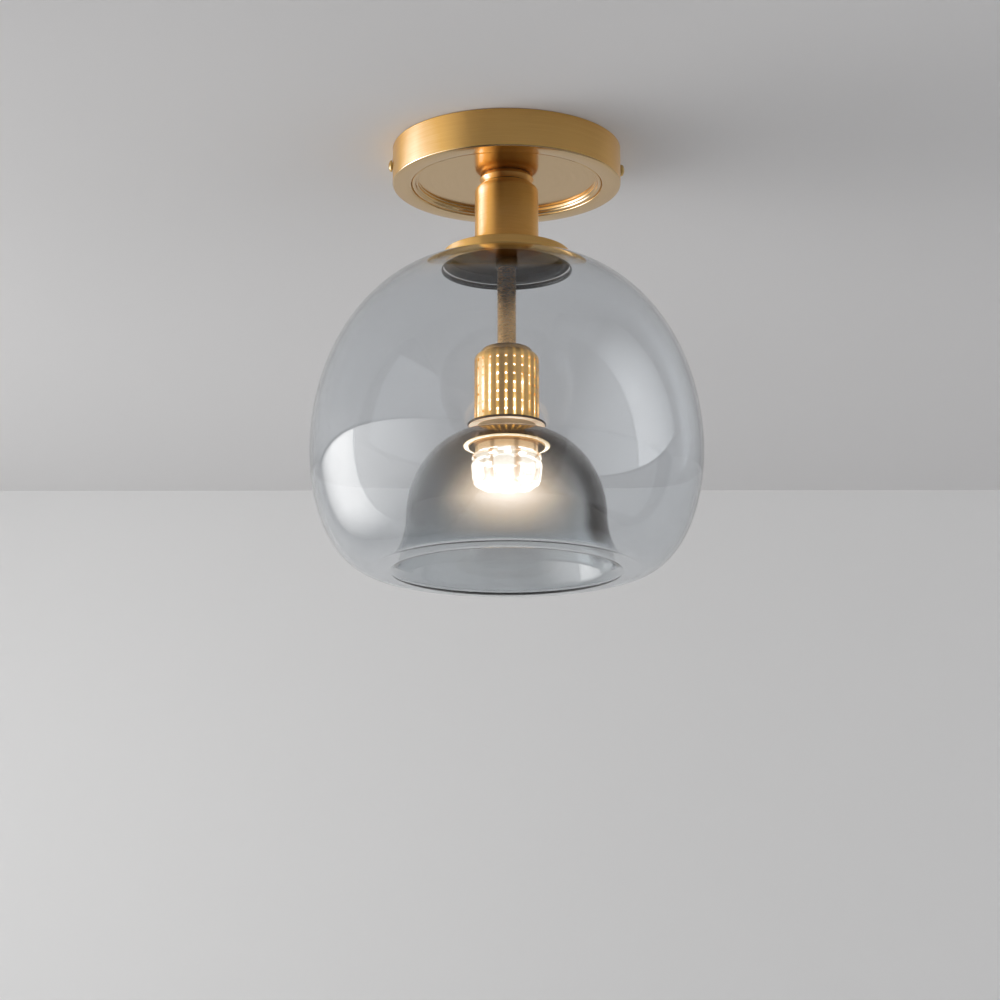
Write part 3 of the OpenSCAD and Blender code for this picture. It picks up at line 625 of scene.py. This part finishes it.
# Faces that look down get the painted shade.
for face in cap.data.polygons:
    face.material_index = int(face.normal.z < -0.5)
dress(cap, "fixture", "cap_brass", "shade_cap")

ring_lip = [(CAP_R - 0.1, SKIRT_LOW), (CAP_R - 0.1, RING_LOW + 0.3), (CAP_R - 0.4, RING_LOW)]
mouth_ring = spun("dark_ring", [(RING_R, CAP_UNDER), (SKIRT_R, CAP_UNDER), (SKIRT_R, SKIRT_LOW)] + ring_lip
                  + [(RING_R + 0.2, RING_LOW), (RING_R, RING_LOW + 0.2)], 160, crisp=50)
mouth_ring.data.materials.append(rubber)
dress(mouth_ring, "fixture", "dark_rubber", "mouth_ring")

# %% [markdown]
# ## Stem, holder cap and flange ring
#
# The stem is a drawn tube with a collar at its top, painted near black as the shade under the cap. The
# holder's small domed cap sits on the perforated sleeve, which keeps its CAD shape with all its holes.

# %% Collar and stem
STEM_R, COLLAR_R, COLLAR_LOW = 4.9, 5.7, CAP_UNDER - 6
SLEEVE_TOP = -112.1
STEM_LOW = SLEEVE_TOP - 5.5
collar = spun("dark_collar", [(BORE_R, CAP_UNDER), (COLLAR_R, CAP_UNDER), (COLLAR_R, COLLAR_LOW + 0.4),
                              (COLLAR_R - 0.4, COLLAR_LOW), (BORE_R, COLLAR_LOW)], 64, crisp=50)
collar.data.materials.append(collar_shade_steel)
dress(collar, "fixture", "blackened_steel", "stem_collar")

stem = spun("brass_stem", [(BORE_R, COLLAR_LOW), (STEM_R - 0.2, COLLAR_LOW), (STEM_R, COLLAR_LOW - 0.2),
                           (STEM_R, STEM_LOW), (BORE_R, STEM_LOW)], 64, crisp=50)
stem.data.materials.append(stem_brass)
dress(stem, "fixture", "stem_brass", "stem")

# %% Domed holder cap
HOLDER_R = 13.5
cap_foot = [(STEM_R, SLEEVE_TOP), (HOLDER_R - 0.4, SLEEVE_TOP), (HOLDER_R, SLEEVE_TOP + 0.3)]
cap_dome = arc(HOLDER_R - 4.2, SLEEVE_TOP + 0.5, 4.2, 2.8, 0, 90, 12) + [(STEM_R, SLEEVE_TOP + 3.3)]
holder_cap = spun("domed_holder_cap", cap_foot + cap_dome, 128, crisp=50)
holder_cap.data.materials.append(holder_brass)
dress(holder_cap, "fixture", "holder_brass", "holder_cap")

# %% [markdown]
# The flange ring lies over the dome. Its rolled edge looks dark, so it gets the same painted shade as the
# neck's groove. Its underside, lit through the glass, gets a painted glow, so the two get materials of their
# own.

# %% Flange ring
FLANGE_TOP, FLANGE_LOW, FLANGE_BORE = -149.4, -150.4, 10.05
flange = spun("rolled_flange_ring", [(FLANGE_BORE, FLANGE_TOP), (19.6, FLANGE_TOP)]
              + arc(19.7, FLANGE_TOP - 0.55, 0.6, 0.6, 90, -90, 10)
              + [(19.3, FLANGE_LOW), (FLANGE_BORE, FLANGE_LOW)], 160, crisp=50)
flange.data.materials.append(painted_shade_edge)
flange.data.materials.append(lit_satin)
# The rolled edge gets painted shade, and the flat underside a painted glow.
for face in flange.data.polygons:
    face.material_index = int(face.normal.z < -0.9 and face.center.xy.length < 19.5 * MM)
dress(flange, "fixture", "holder_brass", "flange_ring")

# %% [markdown]
# ## Lamp module
#
# Under the dome hang a turned flange, a clear ring round it and the crystal lens. The ring is an oval
# spun round the axis.

# %% Glow ring
glow_ring = spun("clear_glow_ring", arc(21.3, -160.7, 1.3, 0.42, 0, 360, 16)[:-1], 160)
glow_ring.data.materials.append(ring_glow)
dress(glow_ring, "lamp_module", "clear_ring", "glow_ring")

# %% [markdown]
# The real lens is pressed in a fluted mould. Here it is spun as a plain plug first. Then its wall is
# pushed in at eight seams, so eight lobes stand between them, and its underside gets a shallow star from
# the same wave.

# %% Crystal lens
LENS_TOP = -161.5
LENS_LOW = LENS_TOP - 22.0
lens_outline = [
    (0, LENS_TOP), (16.2, LENS_TOP), (16.2, LENS_TOP - 4.2), (17.9, LENS_TOP - 4.8), (18.1, LENS_TOP - 6.2),
    (16.4, LENS_TOP - 7.4), (17.9, LENS_TOP - 8.3), (18.5, LENS_TOP - 10), (18.1, LENS_TOP - 13.5),
    (17.8, LENS_TOP - 16.6), (17.1, LENS_LOW + 2.6), (15.9, LENS_LOW + 1.1), (13.6, LENS_LOW),
    (9.4, LENS_LOW + 0.9), (5.0, LENS_LOW + 0.3), (0, LENS_LOW + 0.9)]
SEAM_DEPTH, STAR_DEPTH = 0.10, 0.9
lens = spun("crystal_lens_piece", lens_outline, 144, closed=False)
for vertex in lens.data.vertices:
    wave = abs(math.sin(LENS_LOBES / 2 * (math.atan2(vertex.co.y, vertex.co.x) - LENS_SEAM)))
    if vertex.co.z < (LENS_TOP - 8) * MM:
        shrink = 1 - SEAM_DEPTH * (1 - wave) ** 2
        vertex.co.x *= shrink
        vertex.co.y *= shrink
    if vertex.co.z < (LENS_LOW + 2) * MM and vertex.co.xy.length > 4 * MM:
        vertex.co.z += STAR_DEPTH * MM * (1 - wave)
lens.data.set_sharp_from_angle(angle=math.radians(28))
lens.data.materials.append(crystal)
dress(lens, "lamp_module", "crystal", "crystal_lens")

# %% [markdown]
# ## Finishes for the CAD nodes
#
# The sleeve, the screws and all the parts inside keep their CAD shape and only get a finish. The nodes
# that a new piece stands for get theirs too, so no node is left bare.

# %% Paint the CAD nodes
finishes = {
    "mounting_bar": steel, "earth_screw": plain_brass, "terminal_block": white_plastic,
    "terminal_screws": steel, "led_driver": white_plastic, "canopy": brushed_brass,
    "side_screw_left": screw_brass, "side_screw_right": screw_brass, "nipple": steel,
    "nipple_nut": steel, "lock_washer": steel, "neck": neck_brass, "shade_cap": brushed_brass,
    "mouth_ring": rubber, "stem_collar": collar_shade_steel, "stem": stem_brass, "stem_nut": steel,
    "holder_cap": holder_brass, "holder_sleeve": sleeve_brass_painted_glow, "sleeve_liner": liner_glow,
    "lamp_socket": ceramic, "socket_contacts": plain_brass, "flange_ring": holder_brass,
    "upper_gasket": pale_silicone, "lower_gasket": pale_silicone, "module_housing": module_brass,
    "glow_ring": ring_glow, "led_board": board_white, "led_chips": chip_glow,
    "crystal_lens": crystal, **insulation, **dict.fromkeys(glass_nodes, shade_glass),
}
for name, material in finishes.items():
    nodes[name].data.materials.clear()
    nodes[name].data.materials.append(material)
print(len(finishes), "of", len(nodes), "CAD nodes painted")

# %% [markdown]
# ## The room
#
# The photograph looks up at a pale ceiling with a pale wall behind. Both are single sheets of matt paint.
# Seen from behind they let the camera through, so the lamp can be looked at from above and from the back
# too. The ceiling has a hole behind the canopy, as a real one has for the cable, and it lets light fall on
# the parts inside. The room is stage: it is not part of the lamp.

# %% Paint that is clear from behind
def one_sided(tree, surface, out, see_through):
    """Mix a surface with a clear one where the factor says so."""
    clear = tree.nodes.new("ShaderNodeBsdfTransparent")
    mix = tree.nodes.new("ShaderNodeMixShader")
    tree.links.new(see_through, mix.inputs[0])
    tree.links.new(surface, mix.inputs[1])
    tree.links.new(clear.outputs[0], mix.inputs[2])
    tree.links.new(mix.outputs[0], out.inputs["Surface"])


def room_paint(name, colour, hole=0.0):
    """Matt paint, with a clear round hole over the lamp if one is given."""
    material, tree, shader, out = new_material(name)
    place, x, y, z = own_place(tree)
    uneven_tone = tuple(c * 0.985 for c in colour)
    tree.links.new(blend_colours(tree, noise(tree, place, 3), uneven_tone, colour), shader.inputs["Base Color"])
    shader.inputs["Roughness"].default_value = 0.9
    shader.inputs["Specular IOR Level"].default_value = 0.1
    see_through = tree.nodes.new("ShaderNodeNewGeometry").outputs["Backfacing"]
    if hole:
        in_hole = math_node(tree, "LESS_THAN", from_axis(tree, x, y), hole)
        see_through = math_node(tree, "MAXIMUM", see_through, in_hole)
    one_sided(tree, shader.outputs[0], out, see_through)
    return material


# %% Ceiling, wall and floor
CAMERA_TURN = math.radians(-3.3)
WALL_Y, LEFT, RIGHT, FRONT, FLOOR, TOP = 0.7725, -0.865, 2.2, -3.5, -2.3, 0.0004


def sheet(name, corners, material):
    """One flat sheet; its corners run anticlockwise as seen from the room."""
    bm = bmesh.new()
    bm.faces.new([bm.verts.new(c) for c in corners])
    mesh = bpy.data.meshes.new(name)
    bm.to_mesh(mesh)
    bm.free()
    mesh.materials.append(material)
    piece = bpy.data.objects.new(name, mesh)
    piece.rotation_euler = (0, 0, CAMERA_TURN)
    bpy.context.scene.collection.objects.link(piece)


sheet("ceiling", [(LEFT, WALL_Y, TOP), (RIGHT, WALL_Y, TOP), (RIGHT, FRONT, TOP), (LEFT, FRONT, TOP)],
      room_paint("ceiling paint", (0.78, 0.775, 0.78), hole=0.0575))
sheet("wall", [(LEFT, WALL_Y, FLOOR), (RIGHT, WALL_Y, FLOOR), (RIGHT, WALL_Y, TOP), (LEFT, WALL_Y, TOP)],
      room_paint("wall paint", (0.84, 0.84, 0.84)))
sheet("floor", [(LEFT, FRONT, FLOOR), (RIGHT, FRONT, FLOOR), (RIGHT, WALL_Y, FLOOR), (LEFT, WALL_Y, FLOOR)],
      room_paint("floor paint", (0.75, 0.74, 0.73)))
print("room from", round(LEFT, 2), "to", RIGHT, "m across, wall", WALL_Y, "m behind the lamp")

# %% [markdown]
# ## Light
#
# The reflection in the globe shows what lit the lamp: a white diffuser stands 0.87 m to the left, from
# the ceiling down. It is in two panels with a dark joint. The light behind it is brightest near the joint
# and fades along and down the panels. An area light has the same strength all over, so the diffuser is a
# sheet with emission instead.

# %% The lit diffuser
JOINT_Y = 0.04
REAR_GLOW, FRONT_GLOW = 4.6, 2.9


def diffuser_glow(name):
    material, tree, shader, out = new_material(name)
    tree.nodes.remove(shader)
    place, x, y, z = own_place(tree)
    rear = between(tree, y, REAR_GLOW, REAR_GLOW * 0.25, JOINT_Y + 0.15, WALL_Y)
    front = between(tree, y, FRONT_GLOW, FRONT_GLOW * 0.15, JOINT_Y, -1.2)
    is_rear = math_node(tree, "GREATER_THAN", y, JOINT_Y)
    is_front = math_node(tree, "SUBTRACT", 1.0, is_rear)
    along = math_node(tree, "ADD", product(tree, rear, is_rear), product(tree, front, is_front))
    down = between(tree, z, 1.0, 0.2, -0.40, -0.95)
    facing = tree.nodes.new("ShaderNodeLayerWeight").outputs["Facing"]
    forward = between(tree, facing, 1.0, 0.2, 0.15, 0.75)
    glow = tree.nodes.new("ShaderNodeEmission")
    glow.inputs["Color"].default_value = (1.0, 0.995, 0.985, 1)
    tree.links.new(product(tree, along, down, forward), glow.inputs["Strength"])
    one_sided(tree, glow.outputs[0], out, tree.nodes.new("ShaderNodeNewGeometry").outputs["Backfacing"])
    return material


sheet("diffuser", [(LEFT, FRONT, FLOOR), (LEFT, WALL_Y, FLOOR), (LEFT, WALL_Y, TOP), (LEFT, FRONT, TOP)],
      diffuser_glow("diffuser glow"))

# %% Dark joint and top edge of the diffuser
IN_FRONT = LEFT + 0.002
JOINT_HALF, EDGE_LOW = 0.005, -0.012
seam_paint = room_paint("seam paint", (0.12, 0.12, 0.13))
for name, y_1, y_2, low in (("joint", JOINT_Y - JOINT_HALF, JOINT_Y + JOINT_HALF, FLOOR),
                            ("top_edge", FRONT, WALL_Y, EDGE_LOW)):
    sheet(name, [(IN_FRONT, y_1, low), (IN_FRONT, y_2, low), (IN_FRONT, y_2, TOP), (IN_FRONT, y_1, TOP)],
          seam_paint)

# %% [markdown]
# Two large soft lights fill the front and the right side. They are left out of reflections, as the
# photograph shows no such panels in the glass. The world adds a faint even light. Shiny surfaces see it
# darker towards the front, where a real room would have its dark camera side.

# %% Fill lights and world
turn = Matrix.Rotation(CAMERA_TURN, 4, "Z")


def soft_light(name, place, towards, width, height, power):
    """An area light that lights the lamp but isn't mirrored in it."""
    data = bpy.data.lights.new(name, "AREA")
    data.shape = "RECTANGLE"
    data.size, data.size_y = width, height
    data.energy = power
    light = bpy.data.objects.new(name, data)
    place, towards = turn @ Vector(place), turn @ Vector(towards)
    light.location = place
    light.rotation_euler = (towards - place).to_track_quat("-Z", "Y").to_euler()
    light.visible_glossy = False
    bpy.context.scene.collection.objects.link(light)


soft_light("fill front", (0.6, -2.6, -1.6), (0, 0.3, -0.4), 2.4, 1.6, 3.6)
soft_light("right side", (1.7, -0.7, -0.8), (0, 0.2, -0.3), 2.4, 1.5, 10)

world = bpy.data.worlds.new("room")
bpy.context.scene.world = world
world.use_nodes = True
surroundings = world.node_tree
background = surroundings.nodes["Background"]
background.inputs[0].default_value = (0.95, 0.96, 1.0, 1)
direction = surroundings.nodes.new("ShaderNodeSeparateXYZ")
surroundings.links.new(surroundings.nodes.new("ShaderNodeTexCoord").outputs["Generated"], direction.inputs[0])
to_front = between(surroundings, direction.outputs[1], 0.60, 0.0, -0.95, -0.35)
is_mirrored = surroundings.nodes.new("ShaderNodeLightPath").outputs["Is Glossy Ray"]
darkened = product(surroundings, to_front, is_mirrored)
surroundings.links.new(between(surroundings, darkened, 0.30, 0.0), background.inputs[1])

# %% [markdown]
# ## Camera
#
# The camera was fitted to the canopy's and the rim's ellipses in the photograph: it stands 1.32 m in
# front of the lamp and 0.50 m below the ceiling, looks up by 13 degrees, and has a long lens. The small
# yaw puts the lamp a few pixels off the middle, as it is in the photograph. The Standard view shows
# colours as they are, which makes it easier to match a photograph.

# %% Camera
LOOK_UP = math.radians(13.263)
OFF_CENTRE, FOCAL_PIXELS = 6.8, 2658.2
camera_data = bpy.data.cameras.new("camera")
camera_data.sensor_width = 36
camera_data.lens = 95.69
camera = bpy.data.objects.new("camera", camera_data)
camera.location = turn @ Vector((0, -1.3245, -0.5019))
yaw = math.atan(OFF_CENTRE / FOCAL_PIXELS / math.cos(LOOK_UP))
camera.rotation_euler = (math.radians(90) + LOOK_UP, 0, CAMERA_TURN + yaw)
bpy.context.scene.collection.objects.link(camera)
bpy.context.scene.camera = camera
bpy.context.scene.view_settings.view_transform = "Standard"
bpy.context.scene.view_settings.look = "None"
print("camera at", [round(v, 3) for v in camera.location])

# %% [markdown]
# ## Bloom
#
# A camera's lens spreads a little of the brightest light over its neighbours, and film loses colour where
# it is nearly overexposed, so a brass highlight goes cream. The compositor does both to the finished
# picture: first the brightest parts lose some of their colour, then a glare is added to them.

# %% Pale highlights and bloom
bpy.context.scene.use_nodes = True
composite = bpy.context.scene.node_tree
composite.nodes.clear()
layers = composite.nodes.new("CompositorNodeRLayers")
brightness = composite.nodes.new("CompositorNodeRGBToBW")
how_bright = composite.nodes.new("CompositorNodeMapRange")
how_bright.inputs["From Min"].default_value = 0.47
how_bright.inputs["From Max"].default_value = 1.1
how_bright.use_clamp = True
paler = composite.nodes.new("CompositorNodeHueSat")
paler.inputs["Saturation"].default_value = 0.35
bloom = composite.nodes.new("CompositorNodeGlare")
bloom.glare_type = "BLOOM"
bloom.quality = "HIGH"
bloom.inputs["Threshold"].default_value = 1.0
bloom.inputs["Strength"].default_value = 0.36
bloom.inputs["Size"].default_value = 0.22
bloom.inputs["Tint"].default_value = (1.0, 0.84, 0.62, 1)
picture = composite.nodes.new("CompositorNodeComposite")
for output, socket in ((layers.outputs["Image"], brightness.inputs["Image"]),
                       (brightness.outputs[0], how_bright.inputs["Value"]),
                       (how_bright.outputs["Value"], paler.inputs["Fac"]),
                       (layers.outputs["Image"], paler.inputs["Image"]),
                       (paler.outputs["Image"], bloom.inputs["Image"]),
                       (bloom.outputs["Image"], picture.inputs["Image"])):
    composite.links.new(output, socket)
print(len(composite.nodes), "compositor nodes,", len(composite.links), "links")
